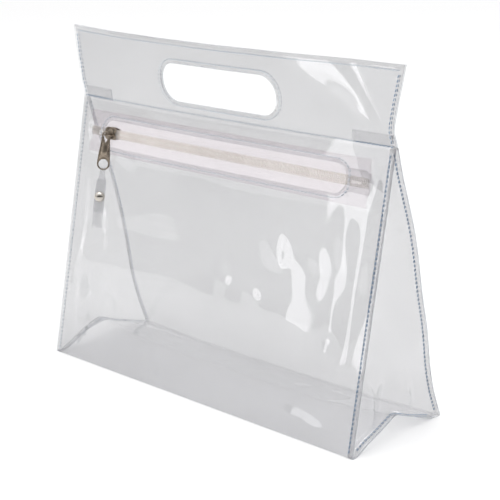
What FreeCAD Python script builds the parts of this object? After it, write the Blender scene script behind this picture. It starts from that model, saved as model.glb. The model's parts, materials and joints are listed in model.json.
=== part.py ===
import FreeCAD, Part
import os
import Sketcher
from FreeCAD import Placement, Rotation, Vector

# Clear film toiletry bag with a zip in its front panel and a slot handle.
# Frame: X to the right, front towards -Y, Z up. Origin: middle of the base, on the surface
# that the bag stands on. All sizes are millimetres and degrees.

doc = FreeCAD.newDocument("ClearBag")
sheet = doc.addObject("Spreadsheet::Sheet", "Sizes")

DIMENSIONS = [
    # the film
    ("film", 0.4, "thickness of the clear film"),
    ("base_width", 300, "width of the panels"),
    ("base_depth", 90, "front to back at the base"),
    ("seam_height", 197, "height of the cross seam, where the plies meet"),
    ("seam_forward", 3, "how far the cross seam stands in front of the middle"),
    ("total_height", 250, "height of the handle's top edge"),
    ("top_forward", 9, "how far the top edge stands in front of the middle"),
    ("top_width", 314, "width of the flared top edge"),
    ("waist_width", 296.4, "width just above the cross seam"),
    ("waist_height", 208, "height of that narrowest place"),
    ("foot_strip", 6, "flat strip along the front and rear fold, which the bag stands on"),
    ("ridge_height", 14, "how far the crease along the base stands up"),
    ("back_radius", 930, "radius of the bulging back panel"),
    # the handle slot
    ("slot_length", 109, "length of the hand slot"),
    ("slot_height", 28, "height of the hand slot"),
    ("slot_middle", 219, "height of the slot's middle"),
    # the gussets
    ("gusset_inset", 4.8, "from the panel's raw edge to the gusset's web"),
    ("tab_length", 31.5, "length of the folded gusset tab held in the cross seam"),
    ("tab_rise", 8.5, "how far that tab stands above the cross seam"),
    # the zip, measured up the front panel from the front fold
    ("zip_rise", 176.5, "front fold to the middle of the zip"),
    ("zip_middle", -3, "sideways position of the zip's middle"),
    ("window_length", 236, "length of the opening that the zip closes"),
    ("window_height", 20, "height of that opening"),
    ("tape_length", 270, "length of the zip tape"),
    ("tape_width", 32, "width of both tapes together"),
    ("tape_thick", 0.6, "thickness of the tape"),
    ("channel_play", 0.6, "from the slider's edge out to where the tape's slope begins"),
    ("channel_slope", 4, "width of the slope beside it"),
    ("coil_gap", 1.4, "gap between the two coils and between the two tapes"),
    ("coil_width", 2.5, "width of one coil"),
    ("coil_thick", 2.0, "height of the coil above the tape"),
    ("cord_bore", 0.9, "diameter of the filler cord inside the coil"),
    # the slider, its pull and the strap on the pull
    ("slider_x", -113.5, "middle of the slider when the zip is closed"),
    ("slider_length", 12, "length of the slider"),
    ("slider_width", 9.6, "width of the slider"),
    ("plate_thick", 1.0, "thickness of the slider's two plates"),
    ("running_gap", 0.25, "play between the slider and what it runs on"),
    ("post_width", 0.9, "width of the post between the two plates"),
    ("pull_play", 0.53, "between the film and what hangs turned on the bail"),
    ("bail_drop", 1.6, "from the zip's middle down to the bail"),
    ("bail_width", 1.4, "width of the bail"),
    ("bail_thick", 1.1, "thickness of the bail"),
    ("bail_length", 8.6, "length of the bail along the slider"),
    ("pull_length", 29.5, "length of the pull"),
    ("pull_thick", 1.2, "thickness of the pull"),
    ("pull_top_width", 6.4, "width of the pull at the bail"),
    ("ring_width", 9.6, "outer diameter of the pull's ring"),
    ("ring_bore", 7.2, "hole in the ring"),
    ("eye_top", 4.2, "diameter of the top of the pull's upper eye"),
    ("eye_length", 5.6, "distance from there to the point of the eye"),
    ("eye_rim", 1.0, "metal above the eye"),
    ("pull_turn", 44, "how far the pull stands turned to the right on the bail, in degrees"),
    ("strap_width", 7.7, "width of the film strap"),
    ("strap_neck", 4.0, "width of the strap where it passes through the ring"),
    ("strap_play", 0.35, "play between the ring's rim and the strap's loop"),
    ("hinge_lift", 0.25, "from the middle of the rim up to the middle of the strap's loop"),
    ("front_ply", 34, "length of the strap's front ply below the ring"),
    ("back_ply", 44.5, "length of the strap's back ply below the ring"),
    ("rivet_drop", 21, "from the ring to the rivet"),
    ("rivet_width", 8.0, "diameter of the rivet's dome"),
    ("rivet_rise", 2.8, "height of the rivet's dome"),
    ("post_diameter", 3.0, "diameter of the rivet's post"),
    ("flange_diameter", 6.0, "diameter of the flange behind the strap"),
    ("flange_thick", 0.6, "thickness of that flange"),
    ("post_depth", 1.2, "how far the post goes into the dome"),
    # the sewing thread
    ("thread", 0.3, "how far the thread stands proud of the film"),
    ("thread_width", 0.7, "width of a row of stitches"),
    ("edge_stitch", 3.9, "from a raw edge to its row of stitches"),
    ("slot_stitch", 3.0, "from the slot's edge to its row of stitches"),
]
for row, (name, value, note) in enumerate(DIMENSIONS, start=1):
    sheet.set(f"A{row}", name)
    sheet.set(f"B{row}", str(value))
    sheet.set(f"C{row}", note)
    sheet.setAlias(f"B{row}", name)
doc.recompute()


def sizes(text):
    """An expression in which every dimension's name is read from the sheet."""
    words = {name for name, _, _ in DIMENSIONS}
    out, word = "", ""
    for letter in text + " ":
        if letter.isalpha() or letter == "_":
            word += letter
            continue
        out += f"Sizes.{word}" if word in words else word
        word = ""
        out += letter
    return out.strip()


def value(text):
    """The present value of an expression."""
    result = sheet.evalExpression(sizes(text))
    return float(getattr(result, "Value", result))


# Angle of the front panel from upright, and of the handle from upright.
LEAN = "atan((base_depth / 2 - seam_forward - 2 * film) / seam_height)"
TILT = "atan((top_forward - seam_forward) / (total_height - seam_height))"


# The bag's own frames. panel: the outer face of the front panel, z up the panel from the front
# fold, y into the bag. handle: the middle plane of the two plies, z up from the cross seam.
FRAMES = {
    "panel": "placement(vector(0; (-1) * base_depth / 2; 0);"
             f" rotation(vector(-1; 0; 0); {LEAN}))",
    "handle": "placement(vector(0; (-1) * seam_forward; seam_height);"
              f" rotation(vector(1; 0; 0); {TILT}))",
}


def bind(thing, **texts):
    """Binds properties of an object to expressions. Base_x means Placement.Base.x."""
    for name, text in texts.items():
        if name.startswith("Base_"):
            name = "Placement.Base." + name[-1]
        thing.setExpression(name, sizes(text))
    return thing


def put(thing, frame):
    """Stands an object that was built in one of the bag's frames in its place."""
    return bind(thing, Placement=FRAMES[frame])


def box(name, low, size):
    """A box from its low corner and its three sizes."""
    thing = doc.addObject("Part::Box", name)
    return bind(thing, Length=size[0], Width=size[1], Height=size[2],
                Base_x=low[0], Base_y=low[1], Base_z=low[2])


TURNS = {
    "x": Rotation(Vector(0, 1, 0), 90),
    "y": Rotation(Vector(1, 0, 0), -90),
    "z": Rotation(),
}


def rod(name, diameter, length, start, along="y"):
    """A cylinder along one axis, from the low end of its axis."""
    thing = doc.addObject("Part::Cylinder", name)
    thing.Placement = Placement(Vector(0, 0, 0), TURNS[along])
    return bind(thing, Radius=f"({diameter}) / 2", Height=length,
                Base_x=start[0], Base_y=start[1], Base_z=start[2])


def fuse(name, *things):
    joined = doc.addObject("Part::MultiFuse", name)
    joined.Shapes = list(things)
    joined.Refine = True
    return joined


def cut(name, base, *tools):
    """One object less the others."""
    taken = tools[0] if len(tools) == 1 else fuse(name + "_tools", *tools)
    left = doc.addObject("Part::Cut", name)
    left.Base = base
    left.Tool = taken
    left.Refine = True
    return left


def common(name, one, other):
    both = doc.addObject("Part::Common", name)
    both.Base = one
    both.Tool = other
    both.Refine = True
    return both


def together(name, *things):
    """Separate solids that make up one node."""
    group = doc.addObject("Part::Compound", name)
    group.Links = list(things)
    return group


PLANES = {
    "YZ": Rotation(Vector(1, 1, 1), 120),
    "XZ": Rotation(Vector(1, 0, 0), 90),
}


def outline(name, plane, points, closed=True):
    """A sketch of straight edges and arcs whose corners are bound to the sheet.

    Each point is (across, up), or (across, up, radius, side) where the edge that leaves the
    point is an arc of that radius that bulges to the left (1) or right (-1) of its chord.
    """
    sketch = doc.addObject("Sketcher::SketchObject", name)
    sketch.Placement = Placement(Vector(0, 0, 0), PLANES[plane])
    places = [Vector(value(p[0]), value(p[1]), 0) for p in points]
    count = len(points) if closed else len(points) - 1
    for i in range(count):
        start, end = places[i], places[(i + 1) % len(points)]
        if len(points[i]) == 2:
            sketch.addGeometry(Part.LineSegment(start, end), False)
            continue
        radius, side = value(points[i][2]), points[i][3]
        chord = end - start
        half = chord.Length / 2
        rise = radius - (radius ** 2 - half ** 2) ** 0.5
        left = Vector(-chord.y, chord.x, 0).normalize()
        sketch.addGeometry(Part.Arc(start, (start + end) / 2 + left * rise * side, end), False)
    for i in range(count):
        # An arc that bulges to the right runs with its own direction; others run against it.
        bends_left = len(points[i]) == 4 and points[i][3] == 1
        first, last = (2, 1) if bends_left else (1, 2)
        for where, point in ((first, points[i]), (last, points[(i + 1) % len(points)])):
            across = sketch.addConstraint(
                Sketcher.Constraint("DistanceX", i, where, value(point[0])))
            sketch.setExpression(f"Constraints[{across}]", sizes(point[0]))
            up = sketch.addConstraint(
                Sketcher.Constraint("DistanceY", i, where, value(point[1])))
            sketch.setExpression(f"Constraints[{up}]", sizes(point[1]))
        if len(points[i]) == 4:
            round_ = sketch.addConstraint(Sketcher.Constraint("Radius", i, value(points[i][2])))
            sketch.setExpression(f"Constraints[{round_}]", sizes(points[i][2]))
    return sketch


def extrude(name, face, length, middle=False):
    """Pulls a sketch or face along its normal: +X from a YZ sketch, -Y from an XZ sketch."""
    solid = doc.addObject("Part::Extrusion", name)
    solid.Base = face
    solid.DirMode = "Normal"
    solid.Solid = True
    solid.Symmetric = middle
    return bind(solid, LengthFwd=length)


def thicken(name, path, thick):
    """A flat face between a path and its copy offset to one side."""
    face = doc.addObject("Part::Offset2D", name)
    face.Source = path
    face.Join = "Intersection"
    face.Fill = True
    return bind(face, Value=thick)


def stadium(name, length, height, thick, middle, low_y):
    """A long hole's shape with round ends, lying in the XZ plane, solid along Y."""
    reach = f"(({length}) - ({height})) / 2"
    bar = box(name + "_bar",
              (f"{middle[0]} - {reach}", low_y, f"{middle[1]} - ({height}) / 2"),
              (f"2 * {reach}", thick, height))
    ends = [rod(f"{name}_{side}", height, thick,
                (f"{middle[0]} {sign} {reach}", low_y, middle[1]))
            for side, sign in (("left", "-"), ("right", "+"))]
    return fuse(name, bar, *ends)


def ring(name, length, height, thick, middle, low_y, wide):
    """A row of stitches round a long hole."""
    outer = stadium(name + "_outer", f"{length} + {wide}", f"{height} + {wide}",
                    thick, middle, low_y)
    inner = stadium(name + "_inner", f"{length} - {wide}", f"{height} - {wide}",
                    f"{thick} + 2", middle, f"{low_y} - 1")
    return cut(name, outer, inner)


# ---------------------------------------------------------------- the folded film sheet

# One sheet makes the handle's front ply, the front panel, the base, the back panel and the
# handle's back ply. The gusset's tab and the film's own thickness part the plies by 0.8 mm.
PLY = "2 * film"
front_seam = (f"(-1) * seam_forward - {PLY}", "seam_height")
rear_seam = (f"(-1) * seam_forward + {PLY}", "seam_height")
base_points = [
    ("(-1) * base_depth / 2", "0"),
    ("(-1) * base_depth / 2 + foot_strip", "0"),
    ("0", "ridge_height"),
    ("base_depth / 2 - foot_strip", "0"),
    ("base_depth / 2", "0", "back_radius", -1),
]
sheet_path = outline(
    "sheet_path", "YZ",
    [(f"(-1) * top_forward - {PLY}", "total_height"), front_seam, *base_points, rear_seam,
     (f"(-1) * top_forward + {PLY}", "total_height")],
    closed=False)
section = thicken("sheet_section", sheet_path, "(-1) * film")
section.Mode = "Skin"
folded = extrude("folded_film", section, "max(top_width; base_width)", middle=True)

# The sheet's side edges: straight up to the cross seam, then flared towards the top edge.
right_edge = [
    ("base_width / 2", "-1"),
    ("base_width / 2", "seam_height + 2"),
    ("waist_width / 2", "waist_height"),
    ("top_width / 2", "total_height"),
    ("top_width / 2", "total_height + 1"),
]
left_edge = [(f"(-1) * {across}", up) for across, up in reversed(right_edge)]
blank = extrude("sheet_outline", outline("sheet_edges", "XZ", right_edge + left_edge),
                "2 * base_depth", middle=True)

hand_slot = stadium("hand_slot", "slot_length", "slot_height", "40",
                    ("0", "slot_middle"), "-25")
zip_window = put(stadium("zip_window", "window_length", "window_height", "6",
                         ("zip_middle", "zip_rise"), "-3"), "panel")
body_sheet = cut("body_sheet", common("folded_blank", folded, blank), hand_slot, zip_window)

# ---------------------------------------------------------------- gussets

# Each end panel stands inside the sheet's raw edges. Its own edges turn outward and lie on
# the inside of the sheet, where they are sewn. Its top is folded into a tab in the seam.
loop = outline("sheet_loop", "YZ", [front_seam, *base_points, rear_seam])
inside = thicken("sheet_inside", loop, "(-1) * film")
inside.Fill = False
turned = thicken("turned_edge", inside, "(-1) * film")

# Half the room between the two plies of the handle.
HALF_ROOM = f"(2 * film * cos({TILT}) - film)"


def gusset(word, sign):
    """The end panel on one side, with its turned edges and its tab."""
    web = extrude(f"gusset_web_{word}", inside, "film", middle=True)
    rim = extrude(f"gusset_rim_{word}", turned, "gusset_inset", middle=True)
    bind(web, Base_x=f"{sign} * (base_width / 2 - gusset_inset + film / 2)")
    bind(rim, Base_x=f"{sign} * (base_width / 2 - gusset_inset / 2)")
    tab = box(f"gusset_tab_{word}",
              (f"{sign} * (base_width / 2 - gusset_inset + 1.8 - tab_length / 2) - tab_length / 2",
               f"(-1) * {HALF_ROOM}", "-1"),
              ("tab_length", f"2 * {HALF_ROOM}", "tab_rise + 1"))
    return fuse(f"gusset_{word}", web, rim, put(together(f"gusset_fold_{word}", tab), "handle"))


gusset_left = gusset("left", "(-1)")
gusset_right = gusset("right", "1")

# ---------------------------------------------------------------- the zip

# In the panel's frame the film is from y = 0 to y = film. Both tapes are sewn to its inside
# and stand back in the middle, where the coils are, so the coils lie just behind the film.
COIL_BACK = "(film + coil_thick)"
CHANNEL = "(slider_width / 2 + channel_play)"


def zip_half(word, sign):
    """One tape, its coil and the filler cord inside the coil."""
    section = [
        (COIL_BACK, f"zip_rise + {sign} * coil_gap / 2"),
        (COIL_BACK, f"zip_rise + {sign} * {CHANNEL}"),
        ("film", f"zip_rise + {sign} * ({CHANNEL} + channel_slope)"),
        ("film", f"zip_rise + {sign} * tape_width / 2"),
        ("film + tape_thick", f"zip_rise + {sign} * tape_width / 2"),
        ("film + tape_thick", f"zip_rise + {sign} * ({CHANNEL} + channel_slope + 0.3)"),
        (f"{COIL_BACK} + tape_thick", f"zip_rise + {sign} * ({CHANNEL} + 0.3)"),
        (f"{COIL_BACK} + tape_thick", f"zip_rise + {sign} * coil_gap / 2"),
    ]
    tape = extrude(f"tape_blank_{word}", outline(f"tape_section_{word}", "YZ", section),
                   "tape_length", middle=True)
    tape = bind(tape, Base_x="zip_middle")
    tape = put(together(f"zip_tape_{word}", tape), "panel")

    low = f"zip_rise + ({sign} * (coil_gap + coil_width) - coil_width) / 2"
    start = "zip_middle - tape_length / 2"
    middle_z = f"zip_rise + {sign} * (coil_gap + coil_width) / 2"
    middle_y = "film + coil_thick / 2"
    blank = box(f"coil_blank_{word}", (start, "film", low),
                ("tape_length", "coil_thick", "coil_width"))
    bore = rod(f"coil_bore_{word}", "cord_bore", "tape_length", (start, middle_y, middle_z), "x")
    coil = put(cut(f"zip_coil_{word}", blank, bore), "panel")
    cord = rod(f"cord_blank_{word}", "cord_bore", "tape_length", (start, middle_y, middle_z), "x")
    cord = put(together(f"zip_cord_{word}", cord), "panel")
    return tape, coil, cord


upper_zip = zip_half("upper", "1")
lower_zip = zip_half("lower", "(-1)")

# ---------------------------------------------------------------- the slider

PLATE_BACK = "(film - running_gap)"
PLATE_FRONT = f"({PLATE_BACK} - plate_thick)"
REAR_FRONT = f"({COIL_BACK} + tape_thick + running_gap)"


def round_corners(name, block, radius):
    """Rounds the corners of a plate, which are its edges along Y."""
    doc.recompute()
    rounded = doc.addObject("Part::Fillet", name)
    rounded.Base = block
    edges = []
    for number, edge in enumerate(block.Shape.Edges, start=1):
        start, end = edge.firstVertex().Point, edge.lastVertex().Point
        if abs((end - start).normalize().y) > 0.99:
            edges.append((number, radius, radius))
    rounded.Edges = edges
    return rounded


def plate(name, low_y):
    block = box(name + "_block",
                ("slider_x - slider_length / 2", low_y, "zip_rise - slider_width / 2"),
                ("slider_length", "plate_thick", "slider_width"))
    return round_corners(name, block, 2.2)


front_plate = plate("front_plate", PLATE_FRONT)
rear_plate = plate("rear_plate", REAR_FRONT)
lips = []
for word, sign in (("upper", "1"), ("lower", "(-1)")):
    wide = "(slider_width / 2 - coil_gap / 2 - coil_width - running_gap)"
    lips.append(box(f"lip_{word}",
                    ("slider_x - slider_length / 2 + 2.5", PLATE_BACK,
                     f"zip_rise + {sign} * (slider_width - {wide}) / 2 - {wide} / 2"),
                    ("slider_length - 5", "coil_thick", wide)))
post = box("slider_post",
           ("slider_x - slider_length / 2 + 1", PLATE_BACK, "zip_rise - post_width / 2"),
           ("3.2", f"{REAR_FRONT} - {PLATE_BACK}", "post_width"))
BAIL_Z = "(zip_rise - bail_drop)"
# The bail's bar stands off so far that neither the turned ring nor the strap meets the film.
REACH = [f"({half} * sin(pull_turn) + {deep} * cos(pull_turn))"
         for half, deep in (("ring_width / 2", "pull_thick / 2"), ("strap_width / 2", "film"),
                            ("flange_diameter / 2", "(film + flange_thick)"))]
BAR_Y = f"((-1) * max({'; '.join(REACH)}) - pull_play)"
legs = [box(f"bail_leg_{word}",
            (f"slider_x {place}", BAR_Y, f"{BAIL_Z} - bail_width / 2"),
            ("bail_thick", f"{PLATE_FRONT} - {BAR_Y}", "bail_width"))
        for word, place in (("left", "- bail_length / 2"),
                            ("right", "+ bail_length / 2 - bail_thick"))]
bar = box("bail_bar",
          ("slider_x - bail_length / 2", f"{BAR_Y} - bail_thick / 2", f"{BAIL_Z} - bail_width / 2"),
          ("bail_length", "bail_thick", "bail_width"))
slider_body = put(fuse("slider_body", front_plate, rear_plate, *lips, post, *legs, bar), "panel")

# ---------------------------------------------------------------- the pull

# The pull hangs by its upper eye from the middle of the bail's bar and swings about it. An eye
# takes the bar only askew, so the pull and its strap stand turned to the right. Their frame has
# its x along the pull's width from the bar's middle, and its y through the pull's thickness.
FRAMES["pull"] = (f"{FRAMES['panel']} * placement(vector(slider_x; {BAR_Y}; 0);"
                  " rotation(vector(0; 0; 1); pull_turn))")
PULL_BACK = "(pull_thick / 2)"
PULL_FRONT = "((-1) * pull_thick / 2)"
PULL_TOP = f"({BAIL_Z} + eye_top / 2 + eye_rim)"
RING_Z = f"({PULL_TOP} - pull_length + ring_width / 2)"

pull_sides = outline("pull_sides", "XZ", [
    ("(-1) * pull_top_width / 2", f"{PULL_TOP} - pull_top_width / 2"),
    ("pull_top_width / 2", f"{PULL_TOP} - pull_top_width / 2"),
    ("ring_width / 2 - 0.15", RING_Z),
    ("0.15 - ring_width / 2", RING_Z),
])
pull_bar = bind(extrude("pull_bar", pull_sides, "pull_thick"), Base_y=PULL_BACK)
pull_head = rod("pull_head", "pull_top_width", "pull_thick",
                ("0", PULL_FRONT, f"{PULL_TOP} - pull_top_width / 2"))
pull_ring = rod("pull_ring", "ring_width", "pull_thick", ("0", PULL_FRONT, RING_Z))
eye_sides = outline("eye_sides", "XZ", [
    ("(-1) * eye_top / 2", BAIL_Z),
    ("(-1) * eye_top / 2", f"{BAIL_Z} - eye_length / 3"),
    ("0", f"{BAIL_Z} - eye_length"),
    ("eye_top / 2", f"{BAIL_Z} - eye_length / 3"),
    ("eye_top / 2", BAIL_Z),
])
eye_point = bind(extrude("eye_point", eye_sides, "pull_thick + 2"), Base_y=f"{PULL_BACK} + 1")
eye_round = rod("eye_round", "eye_top", "pull_thick + 2", ("0", f"{PULL_FRONT} - 1", BAIL_Z))
ring_hole = rod("ring_hole", "ring_bore", "pull_thick + 2",
                ("0", f"{PULL_FRONT} - 1", RING_Z))
pull_tab = put(cut("pull_tab", fuse("pull_blank", pull_bar, pull_head, pull_ring),
                   eye_point, eye_round, ring_hole), "pull")

# ---------------------------------------------------------------- the strap and its rivet

# The strap is folded round the lower rim of the ring and swings about it.
HINGE_Z = f"({RING_Z} - (ring_width + ring_bore) / 4 + hinge_lift)"
RIM = "((ring_width - ring_bore) / 2)"
LOOP = f"((({RIM}) ^ 2 + pull_thick ^ 2) ^ 0.5 / 2 + hinge_lift + strap_play)"
MEET = "7.5"


def across_strap(name, points):
    """A wedge as wide as the strap from its section, given from the hinge."""
    section = outline(name + "_section", "YZ", [
        (y, f"{HINGE_Z} + {z}") for y, z in points])
    return extrude(name, section, "strap_width", middle=True)


strap_low = ("(-1) * strap_width / 2", "0", HINGE_Z)
outer_r = f"({LOOP} + film)"
outer_loop = rod("strap_outer_loop", f"2 * {outer_r}", "strap_width", strap_low, "x")
outer_wedge = across_strap("strap_outer_wedge", [
    (f"(-1) * {outer_r}", "0"), (outer_r, "0"), ("film", f"(-{MEET})"),
    ("(-1) * film", f"(-{MEET})")])
inner_loop = rod("strap_inner_loop", f"2 * {LOOP}", "strap_width + 2",
                 ("(-1) * strap_width / 2 - 1", "0", HINGE_Z), "x")
inner_wedge = across_strap("strap_inner_wedge", [
    (f"(-1) * {LOOP}", "0"), (LOOP, "0"), ("0", f"(-{MEET} + 0.7)")])
plies = [box(f"strap_{word}",
             ("(-1) * strap_width / 2", low_y, f"{HINGE_Z} - {length}"),
             ("strap_width", "film", f"{length} - {MEET} + 0.5"))
         for word, low_y, length in (("front_ply", "(-1) * film", "front_ply"),
                                     ("back_ply", "0", "back_ply"))]
strap_blank = cut("strap_blank", fuse("strap_solid", outer_loop, outer_wedge, *plies),
                  inner_loop, inner_wedge)
strap_edges = outline("strap_edges", "XZ", [
    ("(-1) * strap_neck / 2", f"{HINGE_Z} + 3"),
    ("(-1) * strap_neck / 2", f"{HINGE_Z} - 5"),
    ("(-1) * strap_width / 2", f"{HINGE_Z} - 9.5"),
    ("(-1) * strap_width / 2", f"{HINGE_Z} - back_ply - 1"),
    ("strap_width / 2", f"{HINGE_Z} - back_ply - 1"),
    ("strap_width / 2", f"{HINGE_Z} - 9.5"),
    ("strap_neck / 2", f"{HINGE_Z} - 5"),
    ("strap_neck / 2", f"{HINGE_Z} + 3"),
])
strap_plan = extrude("strap_plan", strap_edges, "12", middle=True)
RIVET_Z = f"({HINGE_Z} - rivet_drop)"
rivet_hole = rod("rivet_hole", "post_diameter", "4", ("0", "-2", RIVET_Z))
puller_strap = put(cut("puller_strap", common("strap_cut_out", strap_blank, strap_plan),
                       rivet_hole), "pull")

dome_radius = "((rivet_width ^ 2 / 4 + rivet_rise ^ 2) / (2 * rivet_rise))"
ball = doc.addObject("Part::Sphere", "rivet_ball")
bind(ball, Radius=dome_radius, Base_y=f"{dome_radius} - film - rivet_rise", Base_z=RIVET_Z)
dome_room = box("dome_room",
                ("(-1) * rivet_width", "(-1) * (film + rivet_rise + 1)",
                 f"{RIVET_Z} - rivet_width"),
                ("2 * rivet_width", "rivet_rise + 1", "2 * rivet_width"))
dome_bore = rod("dome_bore", "post_diameter", "post_depth",
                ("0", "(-1) * (film + post_depth)", RIVET_Z))
rivet_cap = put(cut("rivet_cap", common("rivet_dome", ball, dome_room), dome_bore), "pull")
rivet_post = put(fuse(
    "rivet_post",
    rod("rivet_stem", "post_diameter", "2 * film + post_depth + flange_thick / 2",
        ("0", "(-1) * (film + post_depth)", RIVET_Z)),
    rod("rivet_flange", "flange_diameter", "flange_thick",
        ("0", "film", RIVET_Z))), "pull")

# ---------------------------------------------------------------- rows of stitches

# Each row has the needle's thread on the front of the film and the bobbin's on the back.
PLY_FACE = f"(2 * film * cos({TILT}))"
HANDLE_RISE = f"((total_height - seam_height) / cos({TILT}))"


def both_faces(name, frame, shape, front_y, back_y):
    """A row of thread on each of two faces. The shape is made by a call with its low y."""
    front = shape(name + "_needle", f"{front_y} - thread")
    back = shape(name + "_bobbin", back_y)
    return put(together(name, front, back), frame)


def handle_top_row(name, low_y):
    return box(name, ("(-1) * top_width / 2 + 2", low_y,
                      f"{HANDLE_RISE} - edge_stitch - thread_width / 2"),
               ("top_width - 4", "thread", "thread_width"))


def cross_seam_row(name, low_y):
    return box(name, ("(-1) * base_width / 2 + 1", low_y, "0.3"),
               ("base_width - 2", "thread", "thread_width"))


def slot_row(name, low_y):
    return ring(name, "slot_length + 2 * slot_stitch", "slot_height + 2 * slot_stitch",
                "thread", ("0", f"(slot_middle - seam_height) / cos({TILT})"), low_y,
                "thread_width")


def side_row(sign):
    """The row beside one flared edge of the handle."""
    def made(name, low_y):
        low_z, high_z = "2", f"{HANDLE_RISE} - edge_stitch - thread_width"
        waist_z = f"(waist_height - seam_height) / cos({TILT})"
        inner = [(f"{sign} * (base_width / 2 - edge_stitch)", low_z),
                 (f"{sign} * (waist_width / 2 - edge_stitch)", waist_z),
                 (f"{sign} * (top_width / 2 - edge_stitch)", high_z)]
        outer = [(f"{across} + thread_width", up) for across, up in reversed(inner)]
        edges = outline(name + "_edges", "XZ", inner + outer)
        return bind(extrude(name, edges, "thread"), Base_y=f"{low_y} + thread")
    return made


HANDLE_FACES = (f"(-1) * {PLY_FACE}", PLY_FACE)
thread_handle_top = both_faces("thread_handle_top", "handle", handle_top_row, *HANDLE_FACES)
thread_handle_left = both_faces("thread_handle_left", "handle", side_row("(-1)"), *HANDLE_FACES)
thread_handle_right = both_faces("thread_handle_right", "handle", side_row("1"), *HANDLE_FACES)
thread_hand_slot = both_faces("thread_hand_slot", "handle", slot_row, *HANDLE_FACES)
thread_cross_seam = both_faces("thread_cross_seam", "handle", cross_seam_row, *HANDLE_FACES)


def zip_row(name, low_y):
    """The row round the zip. The bobbin's thread stops at the tape's deeper middle."""
    rise = "(window_height + 2 * slot_stitch)"
    row = ring(name, "window_length + 2 * slot_stitch", rise, "thread",
               ("zip_middle", "zip_rise"), low_y, "thread_width")
    if name.endswith("needle"):
        return row
    half = f"({CHANNEL} + channel_slope + 0.3)"
    middle = box(name + "_middle",
                 ("zip_middle - tape_length / 2", f"{low_y} - 1", f"zip_rise - {half}"),
                 ("tape_length", "thread + 2", f"2 * {half}"))
    return cut(name + "_pair", row, middle)


thread_zip = both_faces("thread_zip", "panel", zip_row, "0", "film + tape_thick")

STITCH_X = "(base_width / 2 - edge_stitch)"


def panel_seam(word, sign):
    """The straight rows that sew one gusset to the front panel."""
    def made(name, low_y):
        return box(name, (f"{sign} * {STITCH_X} - thread_width / 2", low_y, "3"),
                   ("thread_width", "thread", f"seam_height / cos({LEAN}) - 6.5"))
    return both_faces(f"thread_front_{word}", "panel", made, "0", "2 * film")


thread_front = [panel_seam("left", "(-1)"), panel_seam("right", "1")]


def curved_rows(name, sign, edge):
    """Rows across one end of the sheet, on its outside and on the gusset's turned edge.

    edge(near, far) gives the section of a row between two distances outside the sheet.
    """
    solids = []
    for face, near, far in (("needle", "0", "thread"),
                            ("bobbin", "(-2) * film - thread", "(-2) * film")):
        section = outline(f"{name}_{face}_section", "YZ", edge(near, far))
        row = extrude(f"{name}_{face}", section, "thread_width", middle=True)
        solids.append(bind(row, Base_x=f"{sign} * {STITCH_X}"))
    return together(name, *solids)


def back_edge(near, far):
    low, high = "4", "seam_height - 3"
    rise = f"(base_depth / 2 + seam_forward - {PLY})"
    chord = f"(({rise}) ^ 2 + seam_height ^ 2) ^ 0.5"
    # centre of the back panel's arc
    mid_y = f"((base_depth / 2 - seam_forward + {PLY}) / 2)"
    deep = f"((back_radius ^ 2 - ({chord}) ^ 2 / 4) ^ 0.5)"
    centre_y = f"({mid_y} - {deep} * seam_height / ({chord}))"
    centre_z = f"(seam_height / 2 - {deep} * {rise} / ({chord}))"

    def at(extra, z):
        return (f"{centre_y} + ((back_radius + {extra}) ^ 2 - ({z} - {centre_z}) ^ 2) ^ 0.5", z)
    return [(*at(near, high), ), (*at(far, high), f"back_radius + {far}", 1),
            (*at(far, low), ), (*at(near, low), f"back_radius + {near}", -1)]


def base_edge(near, far):
    run = "(base_depth / 2 - foot_strip)"
    angle = f"atan(ridge_height / {run})"

    def at(extra, share):
        return (f"{share} * {run}", f"ridge_height * (1 - abs({share})) - ({extra}) / cos({angle})")
    shares = ["(-0.9)", "0", "0.9"]
    return [at(near, s) for s in shares] + [at(far, s) for s in reversed(shares)]


thread_rear = [curved_rows(f"thread_rear_{word}", sign, back_edge)
               for word, sign in (("left", "(-1)"), ("right", "1"))]
thread_base = [curved_rows(f"thread_base_{word}", sign, base_edge)
               for word, sign in (("left", "(-1)"), ("right", "1"))]

# ---------------------------------------------------------------- checks and files

PARTS = [
    body_sheet, gusset_left, gusset_right, *upper_zip, *lower_zip,
    slider_body, pull_tab, puller_strap, rivet_cap, rivet_post,
    thread_handle_top, thread_handle_left, thread_handle_right, thread_hand_slot,
    thread_cross_seam, thread_zip, *thread_front, *thread_rear, *thread_base,
]
doc.recompute()
for thing in doc.Objects:
    failed = [state for state in thing.State if state in ("Invalid", "Error")]
    if failed:
        raise RuntimeError(f"{thing.Name} failed: {thing.State}")
for part in PARTS:
    if part.Shape.isNull() or not part.Shape.isValid() or not part.Shape.Solids:
        raise RuntimeError(f"{part.Label} has no valid shape")

os.makedirs("parts", exist_ok=True)
for part in PARTS:
    part.Shape.exportStep(f"parts/{part.Label}.step")
    room = part.Shape.BoundBox
    print(f"{part.Label:22} solids {len(part.Shape.Solids)} volume {part.Shape.Volume:9.1f}"
          f"  x {room.XMin:7.1f} {room.XMax:7.1f}  y {room.YMin:6.1f} {room.YMax:6.1f}"
          f"  z {room.ZMin:6.1f} {room.ZMax:6.1f}")
print("bar", value(BAR_Y), value(BAIL_Z), "strap hinge", value(HINGE_Z),
      "lean", value(LEAN), "tilt", value(TILT))
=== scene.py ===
import json
import math

import bmesh
import bpy
import numpy as np
from mathutils import Matrix, Vector
from mathutils.geometry import delaunay_2d_cdt


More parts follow.
